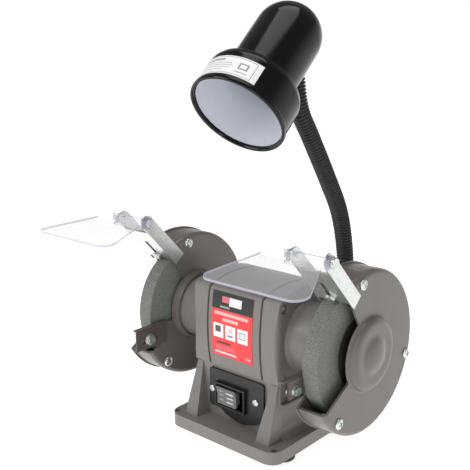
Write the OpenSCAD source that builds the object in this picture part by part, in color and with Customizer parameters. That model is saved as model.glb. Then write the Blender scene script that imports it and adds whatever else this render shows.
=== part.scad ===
// Double-ended bench grinder with a flexible-neck work lamp.
// Origin: centre of the four bench-bolt holes, on the underside of the base casting.
// +X runs along the motor shaft to the right-hand wheel, -Y is the front (switch side), +Z is up.

/* [Wheels] */
// Outside radius of a new grinding wheel
wheel_r = 62.5; // [60:0.5:62.5]
// Thickness of a grinding wheel
wheel_t = 16; // [13:0.5:16]
// Distance from the middle of the machine to the middle of a wheel
wheel_x = 101; // [101:0.5:103]
// Bore radius of the wheels (12.7 mm bore)
wheel_bore_r = 6.35; // [6.35:0.05:6.5]
// Height of the motor shaft above the underside of the base
axis_h = 103.5; // [102:0.5:106]

/* [Base] */
// Width of the base plate, along the shaft
base_w = 133.2; // [130:0.1:140]
// Depth of the base plate, front to back
base_d = 130.7; // [128:0.1:140]
// Thickness of the base plate
base_t = 12.4; // [10:0.1:14]
// Spacing of the bench bolts along the shaft
bolt_dx = 122; // [120:1:124]
// Spacing of the bench bolts front to back
bolt_dy = 116; // [114:1:118]
// Radius of a bench-bolt hole
bolt_r = 3; // [2.5:0.25:3]
// Half width of the pedestal that carries the motor
pedestal_hx = 50; // [49:0.5:51]
// Half depth of the pedestal's front and back panels
pedestal_hy = 39; // [38.5:0.5:40]
// Height of the joint between the pedestal and the motor
seam_z = 65.5; // [64:0.5:66]
// Height of the rubber feet below the base
foot_h = 5.2; // [4:0.1:8]
// Radius of a rubber foot
foot_r = 12; // [10:0.5:13]

/* [Motor] */
// Half width of the motor housing, front to back
motor_hy = 44; // [43.5:0.5:45]
// Height of the top of the housing above the shaft
motor_hz = 47.3; // [46.5:0.1:48]
// Half length of the middle shell
shell_hx = 31.2; // [30:0.2:31.2]
// Distance from the middle to the end face of an end cap
cap_x = 52.5; // [51:0.5:53]
// Radius of the round neck at the guard
neck_r = 31.6; // [31:0.1:32]

/* [Guards] */
// Outside radius of a wheel guard
guard_r = 75; // [74:0.5:76]
// Inner side of a guard, measured along the shaft
guard_x0 = 89.4; // [89.2:0.1:89.4]
// Outer side of a guard, measured along the shaft
guard_x1 = 119.8; // [119.8:0.1:121]
// Wall thickness of the guard
guard_t = 2.2; // [2:0.1:2.2]
// Upper edge of the guard opening, in degrees above the front
open_top = 60; // [58:1:62]
// Lower edge of the guard opening, in degrees below the front
open_low = 30; // [28:1:32]
// Radius of the hub disc that stays behind the opening
hub_r = 34; // [33:0.5:35]

/* [Spark arrestors and eye shields] */
// Height of the lower end of the spark arrestor's side flanges
arrestor_z = 152; // [151:0.5:153]
// Length of the side flanges up to the shield pivot
arrestor_l = 61; // [60:0.5:62]
// Width of the side flanges
flange_w = 14; // [13:0.5:14]
// Width of a clear shield at its front edge
shield_w = 97; // [90:0.5:98]
// Reach of a clear shield in front of its pivot
shield_l = 77; // [74:0.5:80]

/* [Lamp] */
// Distance of the flexible neck from the middle of the machine
neck_x = 56; // [55:0.5:57]
// Outside radius of the flexible neck
flex_r = 7.5; // [7:0.25:8]
// Length of the lamp shade from its mouth to the top of its dome
shade_l = 117; // [114:1:120]
// Outside radius of the shade's front collar
collar_r = 40; // [38:0.5:41]
// Outside radius of the shade's rear body
body_r = 28.5; // [27.5:0.5:29]
// Angle of the lamp's axis below the horizontal
lamp_pitch = 41.75; // [40:0.25:44]

/* [Hidden] */
$fn = 96;

gap = 0.3;                 // clearance between pieces that move past each other
side_bulge_r = 200;        // radius of the bulged front and back of the motor
top_bulge_r = 120;         // radius of the arched top of the motor
motor_corner_r = 6;
foot_x = 54;
foot_y = 37;
shaft_r = 7.5;
bearing_x = 50;
bearing_w = 11;
bearing_r = 17.5;
ball_path_r = 12.5;
ball_r = 3;
flange_r = 18;
blotter_r = 32.5;
blotter_t = 0.6;
guard_bolt_r = 67.2;       // radius of the circle that the guard bolts stand on
guard_angles_left = [81, 197, -50];
guard_angles_right = [78, 197, -48];
wheel_in = wheel_x - wheel_t / 2;
wheel_out = wheel_x + wheel_t / 2;
through_bolt = 34;         // end-cap screws stand this far from the shaft both ways
dome_h = 6.5;
cap_dome_r = 16.7;
arrestor_y = -30.1;        // lower end of the arrestor's front plate
arrestor_tilt = 46.6;      // slope of the arrestor
pivot_n = 7;               // shield pivot, behind the arrestor's front plate
flange_in = 87.4;           // outer face of the arrestor's inner flange
flange_out = 121.9;        // outer face of the arrestor's outer flange
plate_t = 1.5;
shield_t = 2;
shield_left = 53;          // reach of a shield to the left of the middle of its hinge
slope_left = 2.5;          // how far each shield slopes down towards its front edge
slope_right = 5.5;
label_x = -27;             // left and lower edges of the label on the motor's front
label_z = 78.3;
label_w = 50;
label_h = 63;
ear_t = 2.3;
shield_hinge_hw = (flange_out - flange_in) / 2 + 0.4 + ear_t;
pin_r = 2;
rest_y0 = -86;
rest_y1 = -45;
rest_z0 = 75;
rest_z1 = 97;
rest_bolt_y = -69;
rest_bolt_z = 83.8;
rocker_x = -4.4;           // middle of the switch frame
rocker_z = 38.1;
rocker_pivot_y = -43;
switch_screw_at = [[-29, 40.2], [25.6, 41.4]];
rocker_tilt = 6;
lamp_mouth = [neck_x, -102, 312.8];
lamp_yaw = 2.3;
neck_path = [            // pivots of the neck's links, then an elbow and its end in the shade
    [57, 126], [55, 168], [43.5, 212], [21, 249.5], [-5, 288], [-21, 312], [-28, 341]
];
ball_joint_r = 6.2;
ball_joint_gap = 2.4;      // a neck link stops this far from the pivot at each end

// A point at angle a above the front and radius r from the shaft, in the Y-Z plane
function polar(a, r) = [-r * cos(a), r * sin(a)];

// Extrude a Y-Z outline along the shaft, from x0 to x1
module along_x(x0, x1) {
    translate([x0, 0, 0]) rotate([90, 0, 90]) linear_extrude(x1 - x0) children();
}

// The same, with the outline drawn about the shaft's centre line
module about_axis(x0, x1) {
    translate([0, 0, axis_h]) along_x(x0, x1) children();
}

// A round bar along the shaft direction
module rod(x0, x1, r, y = 0, z = axis_h) {
    translate([x0, y, z]) rotate([0, 90, 0]) cylinder(h = x1 - x0, r = r);
}

// Turn a profile of [radius, distance along the shaft] about the shaft
module turned(points) {
    translate([0, 0, axis_h]) rotate([0, 90, 0]) rotate_extrude() polygon(points);
}

module mirrored() {
    children();
    mirror([1, 0, 0]) children();
}

module at_corners(dx, dy) {
    for (sx = [-1, 1], sy = [-1, 1]) translate([sx * dx, sy * dy, 0]) children();
}

// A rectangle with round corners, made of circles so that it stays exact
module round_rect(w, h, r) {
    square([w - 2 * r, h], center = true);
    square([w, h - 2 * r], center = true);
    for (sx = [-1, 1], sy = [-1, 1])
        translate([sx * (w / 2 - r), sy * (h / 2 - r)]) circle(r);
}

// Points of an arc about centre c, from angle a0 to a1 in n steps
function arc(c, r, a0, a1, n) =
    [for (i = [0:n]) let (a = a0 + (a1 - a0) * i / n) c + r * [cos(a), sin(a)]];

function flip(points) = [for (i = [len(points) - 1:-1:0]) [-points[i][0], points[i][1]]];

// Centre of the small corner arc that touches the side and the top arcs from inside
function corner_centre() =
    let (
        a = [motor_hy - side_bulge_r, 0],
        b = [0, motor_hz - top_bulge_r],
        ra = side_bulge_r - motor_corner_r,
        rb = top_bulge_r - motor_corner_r,
        d = norm(b - a),
        along = (ra * ra - rb * rb + d * d) / (2 * d),
        off = sqrt(ra * ra - along * along),
        u = (b - a) / d
    ) a + along * u + off * [-u[1], u[0]];

// Section of the motor: a square with arched sides and rounded corners, cut flat at the seam
function motor_outline(grow = 0) =
    let (
        c = corner_centre(),
        side_c = [motor_hy - side_bulge_r, 0],
        top_c = [0, motor_hz - top_bulge_r],
        low = asin((seam_z - axis_h) / (side_bulge_r + grow)),
        side_a = atan2(c[1] - side_c[1], c[0] - side_c[0]),
        top_a = atan2(c[1] - top_c[1], c[0] - top_c[0]),
        half = concat(
            arc(side_c, side_bulge_r + grow, low, side_a, 10),
            arc(c, motor_corner_r + grow, side_a + 8, top_a - 8, 4),
            arc(top_c, top_bulge_r + grow, top_a, 90, 6))
    ) concat(half, flip([for (i = [0:len(half) - 2]) half[i]]));

module motor_section(grow = 0) {
    polygon(motor_outline(grow));
}

// ---- base ----

// A gusset that widens towards the base plate
module gusset() {
    hull() {
        translate([37, -56, base_t - 1]) cube([15.5, 20, 1]);
        translate([43, -pedestal_hy - 0.4, seam_z - 2]) cube([7, 3, 1]);
    }
}

// Concave sweep between a pedestal side wall and the base plate
module side_sweep(r = 9) {
    translate([pedestal_hx, 0, base_t]) rotate([90, 0, 0])
        translate([0, 0, -pedestal_hy]) linear_extrude(2 * pedestal_hy)
            difference() {
                translate([-1, -1]) square([r + 1, r + 1]);
                translate([r, r]) circle(r);
            }
}

module base_casting() {
    cavity_x = pedestal_hx - 4;
    cavity_y = pedestal_hy - 4;
    color("#8a8580") difference() {
        union() {
            linear_extrude(base_t) round_rect(base_w, base_d, 13);
            linear_extrude(seam_z) round_rect(2 * pedestal_hx, 2 * pedestal_hy, 4);
            mirrored() side_sweep();
            for (sy = [0, 1]) mirror([0, sy, 0]) mirrored() gusset();
        }
        translate([0, 0, -1]) linear_extrude(seam_z - 3)
            round_rect(2 * cavity_x, 2 * cavity_y, 3);
        // recess for the bottom cover
        translate([0, 0, -1]) linear_extrude(2.2)
            round_rect(2 * cavity_x + 6, 2 * cavity_y + 6, 4);
        // way through for the motor leads
        translate([0, 0, 1]) cylinder(h = seam_z, r = 9);
        at_corners(bolt_dx / 2, bolt_dy / 2) translate([0, 0, -1])
            cylinder(h = base_t + 2, r = bolt_r);
        at_corners(foot_x, foot_y) translate([0, 0, -1]) cylinder(h = 9, r = 2);
        // opening and screw holes for the switch, front, and hole for the cable inlet, back
        translate([rocker_x - 18.5, -pedestal_hy - 1, rocker_z - 12]) cube([37, 6, 24]);
        for (p = switch_screw_at) translate([p[0], -pedestal_hy + 5, p[1]])
            rotate([90, 0, 0]) cylinder(h = 6, r = 2.1);
        translate([0, pedestal_hy + 1, 34]) rotate([90, 0, 0]) cylinder(h = 8, r = 8);
    }
}

module bottom_cover() {
    color("#5f6164") difference() {
        linear_extrude(1) round_rect(2 * pedestal_hx - 2.6, 2 * pedestal_hy - 2.6, 4);
        for (x = [-30:10:30], y = [-18, 18]) translate([x, y, -1]) linear_extrude(3)
            round_rect(3, 16, 1.4);
    }
}

module rubber_feet() {
    color("#1b1b1d") at_corners(foot_x, foot_y) translate([0, 0, -foot_h])
        rotate_extrude() polygon([
            [2.2, 2.2], [5, 2.2], [5, 0], [foot_r - 1.2, 0], [foot_r, 1.2],
            [foot_r - 0.5, foot_h], [2.2, foot_h]]);
}

module foot_screws() {
    color("#c9ccc8") at_corners(foot_x, foot_y) {
        translate([0, 0, 2.2 - foot_h - 1.6]) cylinder(h = 1.6, r = 4);
        translate([0, 0, 2.2 - foot_h - 0.1]) cylinder(h = 10, r = 1.95);
    }
}

// Gland in the back panel, where the mains lead goes in
module cable_gland() {
    color("#17171a") translate([0, pedestal_hy, 34]) rotate([-90, 0, 0]) difference() {
        union() {
            translate([0, 0, -6]) cylinder(h = 8, r = 7.9);
            cylinder(h = 3, r = 11);
            translate([0, 0, 3]) cylinder(h = 9, r1 = 8.5, r2 = 6.5);
        }
        translate([0, 0, -7]) cylinder(h = 20, r = 3.6);
    }
}

module capacitor() {
    color("#d8d8d4") rod(-42, -8, 12, 12, 17);
}

module terminal_block() {
    color("#e9e6da") difference() {
        translate([8, -2, 1]) cube([30, 18, 14]);
        for (x = [13:8:36]) translate([x, 7, 10]) cylinder(h = 6, r = 2.4);
    }
}

// ---- motor ----

module stator_shell() {
    color("#8a8580") difference() {
        about_axis(-shell_hx, shell_hx) motor_section();
        rod(-shell_hx - 1, shell_hx + 1, 37.5);
        translate([0, 0, seam_z - 1]) cylinder(h = 8, r = 9);
        mirrored() for (p = [[1, 1], [1, -1], [-1, 1], [-1, -1]])
            rod(-1, shell_hx + 1, 2.2, p[0] * through_bolt, axis_h + p[1] * through_bolt);
    }
}

module stator_core() {
    color("#7d7f84") difference() {
        rod(-22, 22, 37.4);
        rod(-23, 23, 25.6);
        for (a = [0:15:345]) translate([0, 0, axis_h]) rotate([a, 0, 0])
            translate([-23, -1.6, 25]) cube([46, 3.2, 8]);
    }
}

module windings() {
    color("#b0602c") mirrored() turned([[27, 22.1], [35, 22.1], [36, 24], [36, 31],
        [34, 33], [29, 33], [27, 30]]);
}

module end_cap() {
    difference() {
        union() {
            intersection() {
                about_axis(shell_hx + 2.4, cap_x) motor_section();
                linear_extrude(220) round_rect(2 * cap_x, 2 * motor_hy + 0.4, 7);
                rotate([90, 0, 0]) translate([0, 0, -100]) linear_extrude(200)
                    translate([0, axis_h]) round_rect(2 * cap_x, 2 * motor_hz + 0.4, 7);
            }
            // spigot that locates the cap, seen as the dark groove
            about_axis(shell_hx, shell_hx + 2.5) motor_section(-2);
            turned([[0, cap_x - 8], [neck_r + 2.4, cap_x - 8], [neck_r + 2.4, cap_x],
                [neck_r + 0.6, cap_x + 3], [neck_r, guard_x0 - 8], [neck_r, guard_x0],
                [0, guard_x0]]);
        }
        // hollow for the winding, bearing seat, hollow of the neck
        rod(shell_hx - 1, bearing_x - 3, 38);
        rod(shell_hx - 1, bearing_x + bearing_w, bearing_r);
        rod(shell_hx - 1, guard_x0 + 1, 10);
        rod(bearing_x + bearing_w + 3, guard_x0 + 1, neck_r - 5);
        for (sy = [-1, 1], sz = [-1, 1]) {
            rod(shell_hx - 1, cap_x + 1, 2.2, sy * through_bolt, axis_h + sz * through_bolt);
            rod(cap_x - 4, cap_x + 1, 4.6, sy * through_bolt, axis_h + sz * through_bolt);
        }
        for (a = [30, 150, 270]) guard_mount(a) translate([0, 0, -12]) cylinder(h = 13, r = 1.9);
    }
}

// Place for a screw that holds the guard to the neck, its head towards the wheel
module guard_mount(a) {
    p = polar(a, neck_r - 2.6);
    translate([guard_x0, p[0], axis_h + p[1]]) rotate([0, 90, 0]) children();
}

module end_cap_left() { color("#847f79") mirror([1, 0, 0]) end_cap(); }
module end_cap_right() { color("#847f79") end_cap(); }

module end_cap_screws() {
    color("#b9bdba") mirrored() for (sy = [-1, 1], sz = [-1, 1]) {
        y = sy * through_bolt;
        z = axis_h + sz * through_bolt;
        rod(10, cap_x - 3.9, 2.1, y, z);
        difference() {
            rod(cap_x - 4, cap_x - 1, 3.9, y, z);
            rod(cap_x - 2.2, cap_x, 1.4, y, z);
        }
    }
}

module rating_label() {
    color("#e33b3a") intersection() {
        about_axis(label_x, label_x + label_w) difference() {
            motor_section(0.45);
            motor_section(0.02);
        }
        translate([label_x, -60, label_z]) cube([label_w, 60, label_h]);
    }
}

module bearing_outer_rings() {
    color("#aab0b3") mirrored() turned([[15.55, bearing_x], [bearing_r, bearing_x],
        [bearing_r, bearing_x + bearing_w], [15.55, bearing_x + bearing_w]]);
}

module bearing_balls() {
    color("#d5d9db") mirrored() for (a = [0:45:315])
        translate([bearing_x + bearing_w / 2, polar(a, ball_path_r)[0],
            axis_h + polar(a, ball_path_r)[1]]) sphere(r = ball_r);
}

module bearing_inner_rings() {
    color("#b4babc") mirrored() turned([[shaft_r, bearing_x], [9.45, bearing_x],
        [9.45, bearing_x + bearing_w], [shaft_r, bearing_x + bearing_w]]);
}

// ---- rotor ----

module shaft() {
    color("#b8bcbe") mirrored() turned([[0, 0], [10, 0], [10, 45], [shaft_r, 45],
        [shaft_r, 86], [wheel_bore_r - 0.05, 86], [wheel_bore_r - 0.05, 122],
        [wheel_bore_r - 1.05, 123], [0, 123]]);
}

module rotor_core() {
    color("#7b7d80") difference() {
        union() {
            rod(-22, 22, 25.1);
            mirrored() rod(21.9, 26, 23.5);
        }
        rod(-27, 27, 10);
    }
}

module wheel() {
    difference() {
        rod(wheel_in, wheel_out, wheel_r);
        rod(wheel_in - 1, wheel_out + 1, wheel_bore_r);
    }
}

module wheel_left() { color("#7d827a") mirror([1, 0, 0]) wheel(); }
module wheel_right() { color("#7d827a") wheel(); }

module wheel_flanges() {
    color("#8e9294") mirrored() {
        turned([[wheel_bore_r, 86.1], [12, 86.1], [12, 90.5], [flange_r, 90.5],
            [flange_r, wheel_in - blotter_t], [wheel_bore_r, wheel_in - blotter_t]]);
        turned([[wheel_bore_r, wheel_out + blotter_t], [flange_r, wheel_out + blotter_t],
            [flange_r, wheel_out + 2], [14, wheel_out + 4.4], [wheel_bore_r, wheel_out + 4.4]]);
    }
}

module wheel_blotters() {
    color("#3a2c26") mirrored() {
        turned([[wheel_bore_r, wheel_in - blotter_t], [blotter_r, wheel_in - blotter_t],
            [blotter_r, wheel_in], [wheel_bore_r, wheel_in]]);
        turned([[wheel_bore_r, wheel_out], [blotter_r, wheel_out],
            [blotter_r, wheel_out + blotter_t], [wheel_bore_r, wheel_out + blotter_t]]);
    }
}

module spindle_nuts() {
    color("#c3c7c8") mirrored() difference() {
        translate([wheel_out + 4.4, 0, axis_h]) rotate([0, 90, 0])
            cylinder(h = 7, r = 11, $fn = 6);
        rod(wheel_out, wheel_out + 12, wheel_bore_r - 0.05);
    }
}

// ---- guards ----

// The part of a guard that is cut away in front of the wheel, outside the hub
module guard_opening(hub) {
    far = 130;
    difference() {
        polygon([[0, 0], polar(-open_low, far), polar((open_top - open_low) / 2, far),
            polar(open_top, far)]);
        circle(hub);
    }
}

module drum_profile(face, rim, r) {
    // face: outer side of the closed end; rim: open end; both measured along the shaft
    s = sign(face - rim);
    f = 5;
    difference() {
        union() {
            translate([0, min(face, rim)]) square([r - f, abs(face - rim)]);
            translate([0, min(face - s * f, rim)]) square([r, abs(face - s * f - rim)]);
            translate([r - f, face - s * f]) circle(f);
        }
        translate([-1, min(face - s * guard_t, rim - s * 1)])
            square([r - guard_t - f + 3.2 + 1, abs(face - s * guard_t - rim) + 1]);
        translate([0, min(face - s * (guard_t + f - 2), rim - s * 1)])
            square([r - guard_t, abs(face - s * (guard_t + f - 2) - rim) + 1]);
    }
}

// A guard cup: closed at face, open at rim, with bosses for its bolts and a hole for the shaft
module guard_cup(face, rim, hole, angles) {
    s = sign(face - rim);
    boss_lo = min(face - s, rim);
    boss_hi = max(face - s, rim);
    difference() {
        union() {
            difference() {
                translate([0, 0, axis_h]) rotate([0, 90, 0]) rotate_extrude()
                    drum_profile(face, rim, guard_r);
                about_axis(guard_x0 - 1, guard_x1 + 1) guard_opening(hub_r);
            }
            for (a = angles) rod(boss_lo, boss_hi, 3.9, polar(a, guard_bolt_r)[0],
                axis_h + polar(a, guard_bolt_r)[1]);
        }
        if (hole > 0) rod(guard_x0 - 1, guard_x1 + 1, hole);
        for (a = angles) rod(guard_x0 - 1, guard_x1 + 1, 2.5, polar(a, guard_bolt_r)[0],
            axis_h + polar(a, guard_bolt_r)[1]);
    }
}

// A flat guard plate with the same opening as its cup
module guard_disc(x0, x1, r, hole, angles) {
    difference() {
        rod(x0, x1, r);
        about_axis(x0 - 1, x1 + 1) guard_opening(hub_r);
        if (hole > 0) rod(x0 - 1, x1 + 1, hole);
        for (a = angles) rod(x0 - 1, x1 + 1, 2.5, polar(a, guard_bolt_r)[0],
            axis_h + polar(a, guard_bolt_r)[1]);
    }
}

// Raised dome on an outer cover, hollow over the spindle nut
module cover_dome() {
    difference() {
        turned([[0, guard_x1 - 0.2], [hub_r, guard_x1 - 0.2], [hub_r - 0.6, guard_x1 + 3.6],
            [hub_r - 3.4, guard_x1 + dome_h], [cap_dome_r, guard_x1 + dome_h],
            [cap_dome_r - 1, guard_x1 + dome_h + 2.4], [cap_dome_r - 4, guard_x1 + dome_h + 3.4],
            [0, guard_x1 + dome_h + 3.8]]);
        turned([[0, guard_x1 - 3], [hub_r - 3, guard_x1 - 3], [hub_r - 3.4, guard_x1 + 3],
            [hub_r - 5, guard_x1 + dome_h - 2], [0, guard_x1 + dome_h - 2]]);
    }
}

// Tongue of the inner guard piece that carries the tool rest
module rest_tongue() {
    difference() {
        translate([guard_x0, -78, rest_z0 + 2.4])
            cube([guard_t, 50, rest_z1 - rest_z0 - 4.8]);
        rod(guard_x0 - 1, guard_x0 + 4, 2.5, rest_bolt_y, rest_bolt_z);
    }
}

// Lug at the upper edge of a guard that the spark arrestor is screwed to
module arrestor_lug() {
    difference() {
        union() {
            arrestor_place() translate([96, 7, plate_t + gap]) cube([17, 16, 3]);
            about_axis(96, 113) intersection() {
                difference() {
                    circle(guard_r - 0.2);
                    circle(guard_r - guard_t);
                }
                polygon([[0, 0], polar(open_top - 3, 130), polar(open_top + 4, 130)]);
            }
        }
        arrestor_place() translate([104.5, 13, -1]) cylinder(h = 12, r = 2.1);
    }
}

module guard_cup_left() {
    color("#857d77") mirror([1, 0, 0]) {
        difference() {
            union() {
                guard_cup(guard_x0, guard_x1 - 2.4, 19, guard_angles_left);
                // collar round the motor's neck
                turned([[neck_r + 0.6, guard_x0 + 0.5], [36, guard_x0 + 0.5], [36, guard_x0],
                    [34.6, guard_x0 - 8], [neck_r + 0.6, guard_x0 - 8]]);
                rest_tongue();
                arrestor_lug();
            }
            rod(guard_x0 - 9, guard_x0, neck_r + 0.02);
            for (a = [30, 150, 270]) guard_mount(a) countersink();
        }
    }
}

module guard_cover_left() {
    color("#857d77") mirror([1, 0, 0]) {
        difference() {
            union() {
                guard_disc(guard_x1 - 2.4, guard_x1, guard_r + 1.5, 0, guard_angles_left);
                cover_dome();
            }
            rod(guard_x1 - 4, guard_x1 + dome_h - 2, 28);
        }
    }
}

module guard_cup_right() {
    color("#8b837d") {
        difference() {
            union() {
                guard_cup(guard_x1, guard_x0 + guard_t, 0, guard_angles_right);
                cover_dome();
                arrestor_lug();
            }
            rod(guard_x1 - 4, guard_x1 + dome_h - 2, 28);
        }
    }
}

module guard_plate_right() {
    color("#857d77") difference() {
        union() {
            guard_disc(guard_x0, guard_x0 + guard_t, guard_r + 1.5, 19, guard_angles_right);
            rest_tongue();
        }
        for (a = [30, 150, 270]) guard_mount(a) countersink();
    }
}

// Countersunk hole through the guard's inner side
module countersink() {
    translate([0, 0, -0.1]) cylinder(h = 4, r = 2.1);
    translate([0, 0, 0.6]) cylinder(h = guard_t - 0.6, r1 = 2.1, r2 = 3.7);
    translate([0, 0, guard_t - 0.01]) cylinder(h = 0.1, r = 3.7);
}

// A bolt along the shaft direction with its head at x0 and its nut at x1
module guard_bolt(x0, x1, a) {
    y = polar(a, guard_bolt_r)[0];
    z = axis_h + polar(a, guard_bolt_r)[1];
    s = sign(x1 - x0);
    rod(min(x0, x1 + s * 7), max(x0, x1 + s * 7), 2.45, y, z);
    difference() {
        rod(min(x0, x0 - s * 2.4), max(x0, x0 - s * 2.4), 5, y, z);
        translate([x0 - s * 2.4, y, z]) for (r = [0, 90]) rotate([r + 45, 0, 0])
            cube([3, 1.1, 5.4], center = true);
    }
    difference() {
        translate([min(x1, x1 + s * 4), y, z]) rotate([0, 90, 0])
            cylinder(h = 4, r = 4.6, $fn = 6);
        rod(min(x1, x1 + s * 5) - 1, max(x1, x1 + s * 5) + 1, 2.45, y, z);
    }
}

module guard_bolts_left() {
    color("#d7dbd6") mirror([1, 0, 0])
        for (a = guard_angles_left) guard_bolt(guard_x0, guard_x1, a);
}

module guard_bolts_right() {
    color("#d7dbd6") for (a = guard_angles_right) guard_bolt(guard_x1, guard_x0, a);
}

module guard_mount_screws() {
    color("#9da19f") mirrored() for (a = [30, 150, 270]) guard_mount(a) {
        translate([0, 0, -9]) cylinder(h = 10, r = 1.85);
        translate([0, 0, 0.7]) cylinder(h = guard_t - 0.8, r1 = 2, r2 = 3.6);
    }
}

// ---- switch ----

module switch_plate() {
    color("#17171a") translate([1, -pedestal_hy - 0.2, 42.3]) rotate([90, 0, 0])
        difference() {
            union() {
                linear_extrude(2.4) round_rect(68, 39, 3);
                // bulge of the lower edge
                linear_extrude(2.4) intersection() {
                    translate([5, 14]) circle(42);
                    translate([-30, -40]) square([62, 40]);
                }
            }
            translate([rocker_x - 1, rocker_z - 42.3, -1]) linear_extrude(5)
                square([35.4, 23], center = true);
            for (p = switch_screw_at) translate([p[0] - 1, p[1] - 42.3, -1])
                cylinder(h = 5, r = 2.1);
        }
}

// Switch body with the raised frame round the rocker
module switch_body() {
    color("#1e1f22") translate([rocker_x, 0, rocker_z]) difference() {
        union() {
            translate([-17.4, -pedestal_hy - 3.5, -11.2]) cube([34.8, 27, 22.4]);
            translate([-18.6, -pedestal_hy - 6.4, -12.4]) cube([37.2, 3.8, 24.8]);
        }
        translate([-16.7, -pedestal_hy - 7, -10.1]) cube([33.4, 16, 20.2]);
    }
}

module switch_screws() {
    color("#c9ccc8") for (p = switch_screw_at)
        translate([p[0], -pedestal_hy - 2.6, p[1]]) rotate([90, 0, 0]) {
            difference() {
                cylinder(h = 2, r = 3.7);
                for (a = [45, 135]) translate([0, 0, 2]) rotate([0, 0, a])
                    cube([4.6, 0.9, 2.2], center = true);
            }
            translate([0, 0, -7]) cylinder(h = 7.1, r = 2);
        }
}

// Rocker: two shallow slopes that meet over its pivot, drawn in its off position
module switch_rocker() {
    color("#8f9497") translate([0, rocker_pivot_y, rocker_z]) rotate([rocker_tilt, 0, 0])
        along_x(rocker_x - 16.3, rocker_x + 8)
            polygon([[4.6, -6], [-2.8, -9.4], [-1.4, 0], [-2.8, 9.4], [4.6, 6]]);
}

// ---- spark arrestors and eye shields ----

// Children are drawn with X along the shaft, Y up the arrestor and Z behind its front plate
module arrestor_place() {
    translate([0, arrestor_y, arrestor_z]) rotate([-arrestor_tilt, 0, 0]) mirror([0, 1, 0])
        children();
}

module spark_arrestor() {
    arrestor_place() {
        difference() {
            union() {
                translate([flange_in, 8, 0]) cube([flange_out - flange_in, 45, plate_t]);
                for (x = [flange_in, flange_out - plate_t]) {
                    translate([x, 0, 0]) cube([plate_t, arrestor_l, flange_w]);
                    translate([x, arrestor_l, pivot_n]) rotate([0, 90, 0])
                        cylinder(h = plate_t, r = flange_w / 2);
                }
            }
            // slot for the adjusting screw
            translate([104.5, 20.5, -1]) linear_extrude(5) {
                square([4.6, 26], center = true);
                for (s = [-1, 1]) translate([0, 13 * s]) circle(2.3);
            }
            translate([flange_in - 1, arrestor_l, pivot_n]) rotate([0, 90, 0])
                cylinder(h = 40, r = pin_r);
        }
    }
}

module spark_arrestor_left() { color("#d3d8d4") mirror([1, 0, 0]) spark_arrestor(); }
module spark_arrestor_right() { color("#d3d8d4") spark_arrestor(); }

module arrestor_screws() {
    color("#c4c8c5") mirrored() arrestor_place() translate([104.5, 13, 0]) {
        difference() {
            translate([0, 0, -2.7 - gap]) cylinder(h = 2.7, r = 4.4);
            for (r = [45, 135]) translate([0, 0, -2.7 - gap]) rotate([0, 0, r])
                cube([5, 1, 2.4], center = true);
        }
        translate([0, 0, -gap - 0.1]) cylinder(h = 5.4, r = 2);
    }
}

// Pins with a head and a spring washer at each end of the shield hinge
module shield_pins() {
    arrestor_place() translate([0, arrestor_l, pivot_n]) rotate([0, 90, 0]) {
        for (e = [[flange_in, -1], [flange_out, 1]]) {
            s = e[1];
            x = e[0];
            x_in = x - s * 4;
            x_out = x + s * (0.4 + ear_t + 1.3);
            translate([0, 0, min(x_in, x_out)]) cylinder(h = abs(x_out - x_in), r = pin_r);
            translate([0, 0, min(x_out, x_out + s * 2)]) cylinder(h = 2, r = 4);
            difference() {
                translate([0, 0, min(x_out - s * 0.9, x_out)]) cylinder(h = 0.9, r = 4.6);
                translate([0, 0, min(x_out - s * 0.9, x_out) - 1]) cylinder(h = 3, r = pin_r);
            }
        }
    }
}

module shield_pins_left() { color("#cfd3d0") mirror([1, 0, 0]) shield_pins(); }
module shield_pins_right() { color("#cfd3d0") shield_pins(); }

// Children are drawn with the shield's pivot as origin, Y forward along the shield, Z up
module shield_place(side, slope) {
    up = [arrestor_y - arrestor_l * cos(arrestor_tilt) + pivot_n * sin(arrestor_tilt),
        arrestor_z + arrestor_l * sin(arrestor_tilt) + pivot_n * cos(arrestor_tilt)];
    translate([side * (flange_in + flange_out) / 2, up[0], up[1]]) rotate([slope, 0, 0])
        mirror([0, 1, 0]) children();
}

// The same moulding serves both wheels, so it isn't mirrored
module eye_shield(side, slope) {
    root = 8.6;
    r = 11;
    left = -shield_left;
    right = shield_w - shield_left;
    shield_place(side, slope) difference() {
        union() {
            // clear sheet, wider towards the front, with round front corners
            translate([0, 0, -shield_t]) linear_extrude(shield_t) {
                polygon([[left + 7, root], [left, shield_l - r], [left + r, shield_l],
                    [right - r, shield_l], [right - 1.3, shield_l - r - 5.2], [16, root]]);
                for (x = [left + r, right - r]) translate([x, shield_l - r]) circle(r);
            }
            // ears that hold the pins, outside the arrestor's flanges
            for (s = [-1, 1]) translate([s * (shield_hinge_hw - ear_t / 2) - ear_t / 2, 0, 0]) {
                rotate([0, 90, 0]) cylinder(h = ear_t, r = 5.4);
                translate([0, 0, -4]) cube([ear_t, root + 1, 8]);
            }
            // stiffening upstand across the root
            translate([-shield_hinge_hw, root, -5]) cube([2 * shield_hinge_hw, 2.2, 12]);
        }
        translate([-60, 0, 0]) rotate([0, 90, 0]) cylinder(h = 120, r = pin_r + 0.06);
    }
}

module eye_shield_left() { color("#dfe2f2", 0.4) eye_shield(-1, slope_left); }
module eye_shield_right() { color("#dfe2f2", 0.4) eye_shield(1, slope_right); }

// ---- tool rests ----

module tool_rest() {
    web_x0 = guard_x0 - gap - 1.7;
    web_x1 = guard_x0 - gap;
    difference() {
        union() {
            translate([web_x0, rest_y0, rest_z0])
                cube([web_x1 - web_x0, rest_y1 - rest_y0, rest_z1 - rest_z0]);
            // lips turned towards the wheel; the lower one stops short of the guard
            translate([web_x0, rest_y0, rest_z1 - 1.7]) cube([4.6, rest_y1 - rest_y0, 1.7]);
            translate([web_x0, rest_y0, rest_z0]) cube([4.6, -56 - rest_y0, 1.7]);
        }
        rod_slot(web_x0 - 1, web_x1 + 1);
    }
}

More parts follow.
